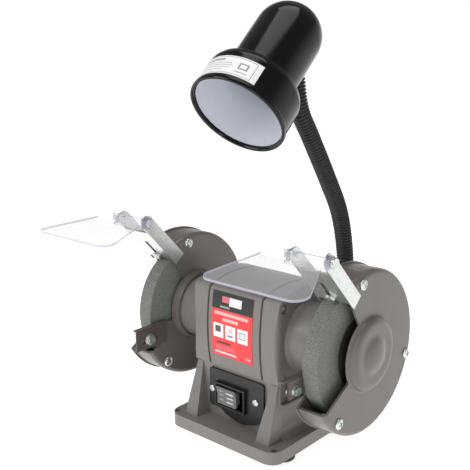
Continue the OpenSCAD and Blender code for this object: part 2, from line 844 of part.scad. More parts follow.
// Slot along the rest for its clamping bolt
module rod_slot(x0, x1) {
    along_x(x0, x1) {
        translate([rest_bolt_y, rest_bolt_z]) square([16, 5.8], center = true);
        for (s = [-1, 1]) translate([rest_bolt_y + 8 * s, rest_bolt_z]) circle(2.9);
    }
}

module tool_rest_left() { color("#6b625c") mirror([1, 0, 0]) tool_rest(); }
module tool_rest_right() { color("#6b625c") tool_rest(); }

module rest_bolts() {
    color("#c4c8c5") mirrored() {
        rod(guard_x0 - gap - 5, guard_x0 + guard_t + 4, 2.5, rest_bolt_y, rest_bolt_z);
        translate([guard_x0 - 2 * gap - 5.5, rest_bolt_y, rest_bolt_z]) rotate([0, 90, 0])
            cylinder(h = 3.4, r = 4.6, $fn = 6);
        rod(guard_x0 - 2 * gap - 2.8, guard_x0 - 2 * gap - 1.7, 6, rest_bolt_y, rest_bolt_z);
        translate([guard_x0 + guard_t, rest_bolt_y, rest_bolt_z]) rotate([0, 90, 0])
            cylinder(h = 3.4, r = 4.2, $fn = 6);
    }
}

// ---- lamp ----

// Block on the back of the right end cap that the flexible neck is screwed into
module lamp_mount() {
    base = neck_path[0];
    color("#2a2a2c") difference() {
        union() {
            translate([34, 34, 90]) cube([34, 22, 26]);
            translate([neck_x, base[0], 90]) cylinder(h = 28, r = 12);
        }
        about_axis(20, 90) motor_section();
        translate([neck_x, base[0], 84]) cylinder(h = 40, r = 5);
        for (z = [96, 110]) translate([39, 30, z]) rotate([-90, 0, 0]) cylinder(h = 30, r = 2.1);
    }
}

module lamp_mount_screws() {
    color("#c4c8c5") for (z = [96, 110]) translate([39, 56, z]) rotate([-90, 0, 0]) {
        translate([0, 0, -10]) cylinder(h = 10.1, r = 2);
        difference() {
            cylinder(h = 2.4, r = 4);
            translate([0, 0, 1]) cylinder(h = 2, r = 1.5, $fn = 6);
        }
    }
}

// Threaded end of the neck, its lock nut and the ball of the first link
module neck_ferrule() {
    base = neck_path[0];
    color("#8f9394") translate([neck_x, base[0], 0]) {
        translate([0, 0, 100]) cylinder(h = base[1] - 100, r = 4.9);
        translate([0, 0, 118]) cylinder(h = 4, r = 10, $fn = 6);
        translate([0, 0, base[1]]) sphere(r = ball_joint_r);
    }
}

// A round bar between two points of the neck's path
module neck_bar(a, b, r) {
    d = b - a;
    translate([neck_x, a[0], a[1]]) rotate([atan2(-d[0], d[1]), 0, 0])
        cylinder(h = norm(d), r = r);
}

// One stiff link of the neck from pivot i to the next, with a socket at its foot
module neck_link(i) {
    a = neck_path[i];
    b = neck_path[i + 1];
    u = (b - a) / norm(b - a);
    last = len(neck_path) - 3;
    difference() {
        union() {
            neck_bar(a + u * ball_joint_gap, i < last ? b - u * ball_joint_gap : b, flex_r);
            if (i < last) translate([neck_x, b[0], b[1]]) sphere(r = ball_joint_r);
        }
        translate([neck_x, a[0], a[1]]) sphere(r = ball_joint_r + gap);
    }
}

module neck_1() { color("#17181a") neck_link(0); }
module neck_2() { color("#1c1d1f") neck_link(1); }
module neck_3() { color("#17181a") neck_link(2); }
module neck_4() { color("#1c1d1f") neck_link(3); }

// The last link bends up into the shade, with a collar under it
module neck_5() {
    elbow = neck_path[5];
    end = neck_path[6];
    color("#17181a") difference() {
        union() {
            neck_link(4);
            neck_bar(elbow, end, flex_r - 0.4);
            translate([neck_x, elbow[0], elbow[1]]) sphere(r = flex_r + 0.4);
        }
        shade_place() translate([0, 0, -1]) cylinder(h = shade_l, r = body_r + 0.02);
    }
}

// Children are drawn with the mouth's centre as origin and Z towards the dome
module shade_place() {
    translate(lamp_mouth) rotate([0, 0, lamp_yaw]) rotate([lamp_pitch - 90, 0, 0]) children();
}

// Outline of the shade as [radius, distance from the mouth], shrunk by t for the inside
module shade_outline(t) {
    collar_l = 36;
    difference() {
        union() {
            translate([0, 2 * t / 3]) square([collar_r - t, collar_l - 6]);
            translate([0, collar_l - 7]) polygon([[0, 0], [collar_r - t, 0],
                [collar_r - 3 - t, 6], [body_r + 2 - t, 9], [0, 9]]);
            translate([0, collar_l]) square([body_r - t, shade_l - body_r - collar_l]);
            intersection() {
                translate([0, shade_l - body_r]) circle(body_r - t);
                square([body_r + 1, shade_l]);
            }
        }
        translate([-200, -1]) square([200, 200]);
    }
}

module lamp_shade() {
    color("#101114") shade_place() difference() {
        union() {
            rotate_extrude() shade_outline(0);
            cylinder(h = 4, r = collar_r + 1);
        }
        difference() {
            translate([0, 0, -1]) rotate_extrude() shade_outline(2);
            // inside wall that carries the lamp holder
            translate([0, 0, 89]) cylinder(h = 3, r = body_r);
        }
        translate([0, 0, -1]) cylinder(h = 10, r = collar_r - 2);
        translate([0, 0, 84]) cylinder(h = 14, r = 9);
        translate([0, 0, shade_l - 6]) cylinder(h = 10, r = 3.3);
    }
}

module lamp_reflector() {
    color("#e8e9ea") shade_place() rotate_extrude() polygon([
        [collar_r - 2.1, 4], [collar_r - 2.1, 5.5], [body_r - 2.4, 36], [body_r - 2.4, 86],
        [16, 88.9], [16, 88], [body_r - 3.4, 85.4], [body_r - 3.4, 36.2], [collar_r - 3.3, 4]]);
}

module lamp_holder() {
    color("#efece2") shade_place() difference() {
        union() {
            translate([0, 0, 64]) cylinder(h = 25, r = 14.5);
            translate([0, 0, 80]) cylinder(h = 16, r = 8.9);
        }
        translate([0, 0, 63]) cylinder(h = 23, r = 12.2);
    }
}

module lamp_bulb() {
    color("#f4f1e6") shade_place() rotate_extrude() polygon(concat(
        [[0, 84], [11.9, 84], [11.9, 66]],
        [for (a = [-48:6:90]) [16 * cos(a), 54 - 16 * sin(a)]]));
}

module lamp_button() {
    color("#101114") shade_place() {
        translate([0, 0, shade_l - 8]) cylinder(h = 14, r = 3.2);
        translate([0, 0, shade_l - 9.2]) cylinder(h = 1.4, r = 5);
    }
}

base_casting();
bottom_cover();
rubber_feet();
foot_screws();
cable_gland();
capacitor();
terminal_block();
stator_shell();
stator_core();
windings();
end_cap_left();
end_cap_right();
end_cap_screws();
rating_label();
bearing_outer_rings();
bearing_balls();
bearing_inner_rings();
shaft();
rotor_core();
wheel_left();
wheel_right();
wheel_flanges();
wheel_blotters();
spindle_nuts();
guard_cup_left();
guard_cover_left();
guard_cup_right();
guard_plate_right();
guard_bolts_left();
guard_bolts_right();
guard_mount_screws();
switch_plate();
switch_body();
switch_screws();
switch_rocker();
spark_arrestor_left();
spark_arrestor_right();
arrestor_screws();
eye_shield_left();
eye_shield_right();
shield_pins_left();
shield_pins_right();
tool_rest_left();
tool_rest_right();
rest_bolts();
lamp_mount();
lamp_mount_screws();
neck_ferrule();
neck_1();
neck_2();
neck_3();
neck_4();
neck_5();
lamp_shade();
lamp_reflector();
lamp_holder();
lamp_bulb();
lamp_button();
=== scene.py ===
import math

import bmesh
import bpy
from mathutils import Matrix, Vector


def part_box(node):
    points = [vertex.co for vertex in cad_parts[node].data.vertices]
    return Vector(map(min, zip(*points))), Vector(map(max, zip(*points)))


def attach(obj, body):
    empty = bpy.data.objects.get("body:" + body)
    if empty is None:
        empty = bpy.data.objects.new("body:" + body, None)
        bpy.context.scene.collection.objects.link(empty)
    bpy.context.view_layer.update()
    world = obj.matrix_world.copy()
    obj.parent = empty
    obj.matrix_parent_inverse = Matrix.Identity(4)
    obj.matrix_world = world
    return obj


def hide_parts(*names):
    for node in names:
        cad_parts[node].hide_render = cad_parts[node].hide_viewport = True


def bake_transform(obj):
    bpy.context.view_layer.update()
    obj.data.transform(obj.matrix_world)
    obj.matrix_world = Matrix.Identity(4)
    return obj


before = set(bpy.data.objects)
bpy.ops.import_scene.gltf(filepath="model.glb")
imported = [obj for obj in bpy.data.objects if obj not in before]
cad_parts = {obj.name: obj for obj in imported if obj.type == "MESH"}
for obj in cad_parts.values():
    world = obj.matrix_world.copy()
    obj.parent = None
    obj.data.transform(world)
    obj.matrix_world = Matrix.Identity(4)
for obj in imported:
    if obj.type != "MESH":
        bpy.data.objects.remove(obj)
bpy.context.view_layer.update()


# ---------------------------------------------------------------------------------------------
# The studio: a pale sweep of floor, large soft lights and the camera in front and to the right.
# Nothing here is part of the grinder.

CAMERA_AT = Vector((0.45577, -0.55793, 0.3691))
CAMERA_TURN = math.radians(41.38)
CAMERA_DOWN = math.radians(13.91)
CAMERA_ROLL = math.radians(-0.27)
LENS_MM = 60.16
floor_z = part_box("rubber_feet")[0][2]


def linear(code):
    """The linear colour of an sRGB hex code such as 8a8580."""
    parts = [int(code[i:i + 2], 16) / 255 for i in (0, 2, 4)]
    return tuple(c / 12.92 if c <= 0.04045 else ((c + 0.055) / 1.055) ** 2.4
                 for c in parts) + (1.0,)


def add(tree, kind, inputs=None, **settings):
    """Add a node, set its properties, and give its inputs values or links."""
    made = tree.nodes.new(kind)
    for name, value in settings.items():
        setattr(made, name, value)
    for name, value in (inputs or {}).items():
        if isinstance(value, bpy.types.NodeSocket):
            tree.links.new(value, made.inputs[name])
        else:
            made.inputs[name].default_value = value
    return made


def new_material(name, **shader):
    """A material with a Principled shader, with its tree, its shader and its coordinates."""
    material = bpy.data.materials.new(name)
    material.use_nodes = True
    tree = material.node_tree
    tree.nodes.clear()
    bsdf = add(tree, "ShaderNodeBsdfPrincipled", shader)
    add(tree, "ShaderNodeOutputMaterial", {"Surface": bsdf.outputs[0]})
    place = add(tree, "ShaderNodeTexCoord").outputs["Object"]
    return material, tree, bsdf, place


def wire(tree, socket, target):
    tree.links.new(socket, target)


def two_tone(tree, bsdf, factor, light, dark):
    """Colour the surface between two close sRGB tones."""
    tint = add(tree, "ShaderNodeMix", {"Factor": factor, "A": linear(light), "B": linear(dark)},
               data_type="RGBA")
    wire(tree, tint.outputs["Result"], bsdf.inputs["Base Color"])


def matte_paper():
    """Seamless studio paper: an even, almost white matte sheet."""
    material, tree, bsdf, place = new_material("studio_paper", Roughness=0.9,
                                               **{"Emission Strength": 0.74})
    bsdf.inputs["Emission Color"].default_value = linear("ffffff")
    noise = add(tree, "ShaderNodeTexNoise", {"Vector": place, "Scale": 6.0, "Detail": 2.0})
    two_tone(tree, bsdf, noise.outputs["Fac"], "f4f4f4", "f7f7f7")
    return material


def area_light(name, at, towards, size, power):
    data = bpy.data.lights.new(name, "AREA")
    data.shape = "RECTANGLE"
    data.size, data.size_y = size
    data.energy = power
    lamp = bpy.data.objects.new(name, data)
    lamp.location = at
    lamp.rotation_euler = (Vector(towards) - Vector(at)).to_track_quat("-Z", "Y").to_euler()
    bpy.context.scene.collection.objects.link(lamp)


eye = bpy.data.objects.new("camera", bpy.data.cameras.new("camera"))
bpy.context.scene.collection.objects.link(eye)
eye.data.lens = LENS_MM
eye.data.sensor_width = 36.0
eye.data.clip_start = 0.02
eye.matrix_world = (Matrix.Translation(CAMERA_AT) @ Matrix.Rotation(CAMERA_TURN, 4, "Z")
                    @ Matrix.Rotation(math.pi / 2 - CAMERA_DOWN, 4, "X")
                    @ Matrix.Rotation(CAMERA_ROLL, 4, "Z"))
bpy.context.scene.camera = eye

area_light("key_light", (-0.55, -1.3, 1.25), (0, 0, 0.15), (0.9, 0.9), 12)
area_light("fill_light", (1.3, -1.0, 0.9), (0, 0, 0.15), (0.25, 1.2), 3)
area_light("top_light", (0.1, 0.1, 1.7), (0, 0, 0.1), (1.0, 1.0), 7)
world = bpy.data.worlds.new("studio_air")
world.use_nodes = True
# the air is white low down, where the floor runs out, and dimmer overhead
world.node_tree.nodes["Background"].inputs["Color"].default_value = linear("ffffff")
heights = add(world.node_tree, "ShaderNodeSeparateXYZ", {"Vector": add(
    world.node_tree, "ShaderNodeTexCoord").outputs["Generated"]})
dimmer = add(world.node_tree, "ShaderNodeMapRange",
             {"Value": heights.outputs["Z"], "From Min": 0.06, "From Max": 0.4, "To Min": 1.0,
              "To Max": 0.25})
wire(world.node_tree, dimmer.outputs["Result"],
     world.node_tree.nodes["Background"].inputs["Strength"])
bpy.context.scene.world = world
bpy.context.scene.view_settings.view_transform = "Standard"

floor_mesh = bpy.data.meshes.new("studio_floor")
half = 40.0
floor_mesh.from_pydata([(-half, -half, floor_z), (half, -half, floor_z), (half, half, floor_z),
                        (-half, half, floor_z)], [], [(0, 1, 2, 3)])
floor_mesh.materials.append(matte_paper())
studio_floor = bpy.data.objects.new("studio_floor", floor_mesh)
bpy.context.scene.collection.objects.link(studio_floor)


# ---------------------------------------------------------------------------------------------
# Base casting: die-cast aluminium plate and pedestal in one, with four gussets, linished on the
# underside and powder-coated a warm satin grey.


def cad_copy(node):
    """A merged copy of a CAD node's mesh, its flat faces joined again."""
    mesh = bmesh.new()
    mesh.from_mesh(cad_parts[node].data)
    bmesh.ops.remove_doubles(mesh, verts=mesh.verts, dist=5e-6)
    bmesh.ops.dissolve_limit(mesh, angle_limit=math.radians(0.7), verts=mesh.verts,
                             edges=mesh.edges)
    return mesh


def evaluated(shape):
    """A plain mesh of the object with its modifiers applied."""
    graph = bpy.context.evaluated_depsgraph_get()
    mesh = bpy.data.meshes.new_from_object(shape.evaluated_get(graph))
    shape.modifiers.clear()
    return mesh


def as_object(name, mesh):
    if isinstance(mesh, bmesh.types.BMesh):
        data = bpy.data.meshes.new(name)
        mesh.to_mesh(data)
        mesh.free()
        mesh = data
    shape = bpy.data.objects.new(name, mesh)
    bpy.context.scene.collection.objects.link(shape)
    return shape


def piece(name, mesh, material, body, nodes=(), round_mm=0.0, steps=2, crease=38):
    """Finish a piece: round its edges, smooth its faces up to crease degrees, and mount it on
    its body, or on none if it bends across a joint."""
    shape = as_object(name, mesh)
    if round_mm:
        shape.modifiers.new("edges", "BEVEL")
        bevel = shape.modifiers["edges"]
        bevel.width = round_mm / 1000
        bevel.segments = steps
        bevel.limit_method = "ANGLE"
        bevel.angle_limit = math.radians(crease)
        bevel.miter_outer = "MITER_ARC"
        shape.data = evaluated(shape)
    shape.data.materials.clear()
    shape.data.materials.append(material)
    for face in shape.data.polygons:
        face.use_smooth = True
    shape.data.set_sharp_from_angle(angle=math.radians(crease))
    shape.modifiers.new("faces", "WEIGHTED_NORMAL").keep_sharp = True
    shape.data = evaluated(shape)
    if body:
        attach(shape, body)
    if nodes:
        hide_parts(*nodes)
    return shape


def carried(material, *nodes):
    """Give CAD nodes that stay as they are their finish."""
    for node in nodes:
        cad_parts[node].data.materials.clear()
        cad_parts[node].data.materials.append(material)


def roughness_between(tree, bsdf, value, low, high):
    gloss = add(tree, "ShaderNodeMapRange", {"Value": value, "To Min": low, "To Max": high})
    wire(tree, gloss.outputs["Result"], bsdf.inputs["Roughness"])


def relief(tree, bsdf, height, strength, depth):
    """Raise and sink the surface by up to a depth in metres."""
    bump = add(tree, "ShaderNodeBump", {"Height": height, "Strength": strength,
                                        "Distance": depth})
    wire(tree, bump.outputs["Normal"], bsdf.inputs["Normal"])


def powder_coat(name, light, dark, rough, peel_mm=1.1):
    """Satin powder coat: orange peel about a millimetre across, over a faint mottle."""
    material, tree, bsdf, place = new_material(name)
    cloud = add(tree, "ShaderNodeTexNoise", {"Vector": place, "Scale": 34.0, "Detail": 4.0})
    two_tone(tree, bsdf, cloud.outputs["Fac"], light, dark)
    roughness_between(tree, bsdf, cloud.outputs["Fac"], rough - 0.05, rough + 0.06)
    peel = add(tree, "ShaderNodeTexNoise", {"Vector": place, "Scale": 1000 / peel_mm,
                                            "Detail": 1.5})
    relief(tree, bsdf, peel.outputs["Fac"], 0.25, 0.00006)
    return material


housing_paint = powder_coat("warm_grey_powder_coat", "7f7a75", "77726d", 0.38)
piece("base_body", cad_copy("base_casting"), housing_paint, "frame", ["base_casting"],
      round_mm=0.9, steps=3)


# ---------------------------------------------------------------------------------------------
# What is under the base: a galvanised steel cover with vent slots, four moulded rubber feet and
# the screws that hold them.


def zinc_plate(name="bright_zinc_plate", light="e4e7e4", dark="b9bebb", rough=0.3):
    """Electro-galvanised steel: pale silver with a soft mottle and fine rolling lines."""
    material, tree, bsdf, place = new_material(name, Metallic=1.0)
    spread = add(tree, "ShaderNodeMapping", {"Vector": place, "Scale": (90.0, 700.0, 700.0)})
    lines = add(tree, "ShaderNodeTexNoise", {"Vector": spread.outputs["Vector"], "Scale": 1.0,
                                             "Detail": 3.0})
    mottle = add(tree, "ShaderNodeTexVoronoi", {"Vector": place, "Scale": 260.0})
    tone = add(tree, "ShaderNodeMath", {0: lines.outputs["Fac"], 1: mottle.outputs["Distance"]},
               operation="MULTIPLY_ADD")
    tone.inputs[2].default_value = 0.15
    two_tone(tree, bsdf, tone.outputs[0], light, dark)
    roughness_between(tree, bsdf, lines.outputs["Fac"], rough - 0.08, rough + 0.12)
    relief(tree, bsdf, lines.outputs["Fac"], 0.2, 0.00004)
    return material


def moulded_rubber(name="black_rubber", colour="1c1c1e", rough=0.62):
    """Black moulded rubber: a dull skin with a faint bloom and a fine grain."""
    material, tree, bsdf, place = new_material(name)
    bloom = add(tree, "ShaderNodeTexNoise", {"Vector": place, "Scale": 120.0, "Detail": 3.0})
    two_tone(tree, bsdf, bloom.outputs["Fac"], colour, "2a2a2b")
    roughness_between(tree, bsdf, bloom.outputs["Fac"], rough - 0.1, rough + 0.1)
    grain = add(tree, "ShaderNodeTexNoise", {"Vector": place, "Scale": 2500.0})
    relief(tree, bsdf, grain.outputs["Fac"], 0.25, 0.00005)
    return material


zinc = zinc_plate()
rubber = moulded_rubber()
piece("base_cover", cad_copy("bottom_cover"), zinc, "frame", ["bottom_cover"],
      round_mm=0.2)
piece("feet", cad_copy("rubber_feet"), rubber, "frame", ["rubber_feet"],
      round_mm=0.5)
carried(zinc, "foot_screws", "lamp_mount_screws", "guard_mount_screws", "arrestor_screws")


# ---------------------------------------------------------------------------------------------
# Motor housing: a middle shell between two end caps with round necks, each cap cast in
# aluminium and coated like the base.

piece("motor_shell", cad_copy("stator_shell"), housing_paint, "frame", ["stator_shell"],
      round_mm=0.7, steps=3, crease=30)
for side in ("left", "right"):
    piece("motor_cap_" + side, cad_copy("end_cap_" + side), housing_paint, "frame",
          ["end_cap_" + side], round_mm=0.6, steps=3, crease=30)


# ---------------------------------------------------------------------------------------------
# Machine screws and bolts: bright zinc pan heads with a cross recess, hexagon bolts with washers
# and the hexagon nuts behind them. One mesh holds all the screws of a kind on a body.


def soft(outline, r, n=4):
    """Round the inner corners of an outline of 2-D points with arcs of about radius r."""
    points = [Vector(outline[0])]
    for before, corner, after in zip(outline, outline[1:], outline[2:]):
        before, corner, after = Vector(before), Vector(corner), Vector(after)
        a, b = before - corner, after - corner
        reach = min(r, a.length * 0.48, b.length * 0.48)
        start, end = corner + a.normalized() * reach, corner + b.normalized() * reach
        for i in range(n + 1):
            t = i / n
            points.append(start * (1 - t) ** 2 + corner * 2 * t * (1 - t) + end * t ** 2)
    points.append(Vector(outline[-1]))
    return points


def lathe(outline, place=Matrix(), steps=96, closed=False):
    """Turn an outline of (radius, height) in millimetres about Z, and put it at place."""
    mesh = bmesh.new()
    rings = []
    for r, h in outline:
        if r < 1e-6:
            rings.append([mesh.verts.new(place @ Vector((0, 0, h / 1000)))] * steps)
            continue
        turn = [2 * math.pi * j / steps for j in range(steps)]
        rings.append([mesh.verts.new(place @ Vector((r * math.cos(a) / 1000,
                                                     r * math.sin(a) / 1000, h / 1000)))
                      for a in turn])
    pairs = list(zip(rings, rings[1:])) + ([(rings[-1], rings[0])] if closed else [])
    for low, high in pairs:
        for j in range(steps):
            k = (j + 1) % steps
            corners = list(dict.fromkeys((low[j], low[k], high[k], high[j])))
            if len(corners) > 2:
                mesh.faces.new(corners)
    bmesh.ops.recalc_face_normals(mesh, faces=mesh.faces)
    return mesh


def block(x0, x1, y0, y1, z0, z1, place=Matrix()):
    """A box between two corners in millimetres, put at place."""
    mesh = bmesh.new()
    bmesh.ops.create_cube(mesh, size=1)
    middle_of = Vector((x0 + x1, y0 + y1, z0 + z1)) / 2
    span = Vector((x1 - x0, y1 - y0, z1 - z0))
    for vert in mesh.verts:
        vert.co = place @ ((middle_of + Vector(c * d for c, d in zip(vert.co, span))) / 1000)
    return mesh


def carve(mesh, cutters, mode="DIFFERENCE"):
    """Cut the cutter meshes out of a mesh (or join them to it), and return the plain mesh."""
    shape = as_object("carved", mesh)
    tools = []
    for i, cutter in enumerate(cutters):
        tools.append(as_object("cutter", cutter))
        step = shape.modifiers.new("cut" + str(i), "BOOLEAN")
        step.object, step.operation, step.solver = tools[-1], mode, "EXACT"
    mesh = evaluated(shape)
    for thing in tools + [shape]:
        bpy.data.objects.remove(thing)
    return mesh


def cross_head(r, h, shank_r, shank_l):
    """A pan-head screw with a cross recess; its bearing face is at the origin, its head up Z."""
    rise = [(0, h), (r * 0.55, h * 0.95), (r * 0.9, h * 0.66), (r, h * 0.3), (r, 0),
            (shank_r, 0), (shank_r, -shank_l), (0, -shank_l)]
    slots = [block(-w / 2, w / 2, -d / 2, d / 2, h - 1.1, h + 1)
             for w, d in ((r * 1.15, r * 0.26), (r * 0.26, r * 1.15))]
    return carve(lathe(soft(rise, 0.5, 3), steps=32), slots)


def hex_head(r, h, shank_r, shank_l, washer_r, washer_t):
    """A hexagon head on a washer, with its bearing face at the origin and its head up Z."""
    hexagon = lathe([(0, h + washer_t), (r, h + washer_t), (r, washer_t), (0, washer_t)], steps=6)
    dome = lathe([(0, h + washer_t + 0.1), (r * 0.86, h + washer_t + 0.1),
                  (r * 1.04, h + washer_t - r * 0.14), (r * 1.04, -1), (0, -1)], steps=48)
    head = carve(hexagon, [dome], "INTERSECT")
    base = lathe(soft([(0, washer_t), (washer_r, washer_t), (washer_r, 0), (shank_r, 0),
                       (shank_r, -shank_l), (0, -shank_l)], 0.15, 2), steps=48)
    whole = bmesh.new()
    whole.from_mesh(head)
    data = bpy.data.meshes.new("washer")
    base.to_mesh(data)
    whole.from_mesh(data)
    base.free()
    return whole


def fastener_tree(material):
    """Geometry Nodes that stand a head on every point, along its facing, turned at random."""
    tree = bpy.data.node_groups.new("set_fasteners", "GeometryNodeTree")
    sockets = (("Places", "INPUT", "NodeSocketGeometry"), ("Head", "INPUT", "NodeSocketObject"),
               ("Size", "INPUT", "NodeSocketFloat"), ("Seed", "INPUT", "NodeSocketInt"),
               ("Fasteners", "OUTPUT", "NodeSocketGeometry"))
    for name, way, kind in sockets:
        tree.interface.new_socket(name, in_out=way, socket_type=kind)
    given = add(tree, "NodeGroupInput")
    facing = add(tree, "GeometryNodeInputNamedAttribute", {"Name": "facing"},
                 data_type="FLOAT_VECTOR")
    aimed = add(tree, "FunctionNodeAlignRotationToVector",
                {"Vector": facing.outputs["Attribute"]}, axis="Z")
    turn = add(tree, "FunctionNodeRandomValue", {"Seed": given.outputs["Seed"]},
               data_type="FLOAT")
    turn.inputs[3].default_value = 2 * math.pi
    about = add(tree, "ShaderNodeCombineXYZ", {"Z": turn.outputs[1]})
    spun = add(tree, "FunctionNodeEulerToRotation", {"Euler": about.outputs[0]})
    stood = add(tree, "FunctionNodeRotateRotation",
                {"Rotation": aimed.outputs[0], "Rotate By": spun.outputs[0]},
                rotation_space="LOCAL")
    head = add(tree, "GeometryNodeObjectInfo", {"Object": given.outputs["Head"]})
    set_on = add(tree, "GeometryNodeInstanceOnPoints",
                 {"Points": given.outputs["Places"], "Instance": head.outputs["Geometry"],
                  "Rotation": stood.outputs[0], "Scale": given.outputs["Size"]})
    real = add(tree, "GeometryNodeRealizeInstances", {"Geometry": set_on.outputs[0]})
    finish = add(tree, "GeometryNodeSetMaterial", {"Geometry": real.outputs[0],
                                                   "Material": material})
    add(tree, "NodeGroupOutput", {0: finish.outputs[0]})
    return tree


def use_tree(shape, tree, **values):
    """Run a tree on an object with the named input values, and return the plain mesh."""
    nodes = shape.modifiers.new("nodes", "NODES")
    nodes.node_group = tree
    for socket in tree.interface.items_tree:
        if socket.in_out == "INPUT" and socket.name in values:
            nodes[socket.identifier] = values[socket.name]
    mesh = evaluated(shape)
    bpy.data.objects.remove(shape)
    return mesh


set_fasteners = fastener_tree(zinc)


def fasteners(name, head, places, body, nodes, seed=1, material=None):
    """Stand a head at each (point, direction) in millimetres; one mesh on one body."""
    data = bpy.data.meshes.new(name + "_places")
    data.from_pydata([Vector(at) / 1000 for at, _ in places], [], [])
    facing = data.attributes.new("facing", "FLOAT_VECTOR", "POINT")
    facing.data.foreach_set("vector", [c for _, way in places for c in Vector(way)])
    pattern = as_object(name + "_head", head)
    mesh = use_tree(as_object(name + "_places", data), set_fasteners, Head=pattern, Size=1.0,
                    Seed=seed)
    bpy.data.objects.remove(pattern)
    return piece(name, mesh, material or zinc, body, nodes, round_mm=0.12, steps=2,
                 crease=32)


def middle(node):
    low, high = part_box(node)
    return (Vector(low) + Vector(high)) * 500


axis_z = middle("shaft").z
cap_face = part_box("end_cap_screws")[1][0] * 1000
fasteners("cap_screws", cross_head(3.9, 2.2, 2.1, 34),
          [((sx * (cap_face - 2.4), sy * 34, axis_z + sz * 34), (sx, 0, 0))
           for sx in (-1, 1) for sy in (-1, 1) for sz in (-1, 1)],
          "frame", ["end_cap_screws"], seed=3)

guard_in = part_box("guard_plate_right")[0][0] * 1000
guard_depth = 30.4
guard_out = guard_in + guard_depth
bolt_circle = 67.2
for side, sx, angles in (("left", -1, (81, 197, -50)), ("right", 1, (78, 197, -48))):
    spots = [(-bolt_circle * math.cos(math.radians(a)),
              axis_z + bolt_circle * math.sin(math.radians(a))) for a in angles]
    head_x, nut_x = (guard_in, guard_out) if side == "left" else (guard_out, guard_in)
    away = 1 if head_x > nut_x else -1
    screws = [((sx * head_x, y, z), (sx * away, 0, 0)) for y, z in spots]
    fasteners("guard_screws_" + side, cross_head(5, 2.6, 2.45, 37), screws, "frame",
              ["guard_bolts_" + side], seed=5 + sx)
    fasteners("guard_nuts_" + side, hex_head(4.6, 3.6, 2.4, 1, 4.8, 0.4),
              [((sx * nut_x, y, z), (-sx * away, 0, 0)) for y, z in spots], "frame", [], seed=7)
plate_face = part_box("switch_screws")[0][1] * 1000 + 2.1
fasteners("plate_screws", cross_head(3.7, 2.1, 2, 6.8),
          [((x, plate_face, z), (0, -1, 0)) for x, z in ((-29, 40.2), (25.6, 41.4))], "frame",
          ["switch_screws"], seed=11)

rest_bolt_y, rest_bolt_z = -69, 83.8
for side, sx in (("left", -1), ("right", 1)):
    at = Vector((sx * (guard_in - 1.9), rest_bolt_y, rest_bolt_z))
    fasteners("rest_bolt_" + side, hex_head(4.6, 3.3, 2.5, 7.5, 6, 1),
              [(at, (-sx, 0, 0))], "frame", ["rest_bolts"] if side == "left" else [], seed=13)
    fasteners("rest_nut_" + side, hex_head(4.2, 3.2, 2.4, 1, 5, 0.4),
              [((sx * (guard_in + 2.2), rest_bolt_y, rest_bolt_z), (sx, 0, 0))], "frame", [],
              seed=17)
nut_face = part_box("spindle_nuts")[1][0] * 1000
fasteners("wheel_nuts", hex_head(10.9, 7, 6.3, 0.2, 10.9, 0.1),
          [((sx * (nut_face - 7), 0, axis_z), (sx, 0, 0)) for sx in (-1, 1)], "rotor",
          ["spindle_nuts"], seed=19)


# ---------------------------------------------------------------------------------------------
# Rating label: a printed film on the front of the motor, a dark band over red, with blank white
# panels and plain bars where a label has its pictures and words.


def mask(tree, across, up, u0, u1, v0, v1):
    """1 inside a rectangle of the two coordinates (metres, given here in millimetres)."""
    parts = []
    for value, low, high in ((across, u0, u1), (up, v0, v1)):
        off = add(tree, "ShaderNodeMath", {0: value, 1: (low + high) / 2000},
                  operation="SUBTRACT")
        size = add(tree, "ShaderNodeMath", {0: off.outputs[0]}, operation="ABSOLUTE")
        parts.append(add(tree, "ShaderNodeMath", {0: size.outputs[0], 1: (high - low) / 2000},
                         operation="LESS_THAN"))
    both = add(tree, "ShaderNodeMath", {0: parts[0].outputs[0], 1: parts[1].outputs[0]},
               operation="MULTIPLY")
    return both.outputs[0]


def over(tree, under, colour, factor):
    mixed = add(tree, "ShaderNodeMix", {"Factor": factor, "A": under, "B": linear(colour)},
                data_type="RGBA")
    return mixed.outputs["Result"]


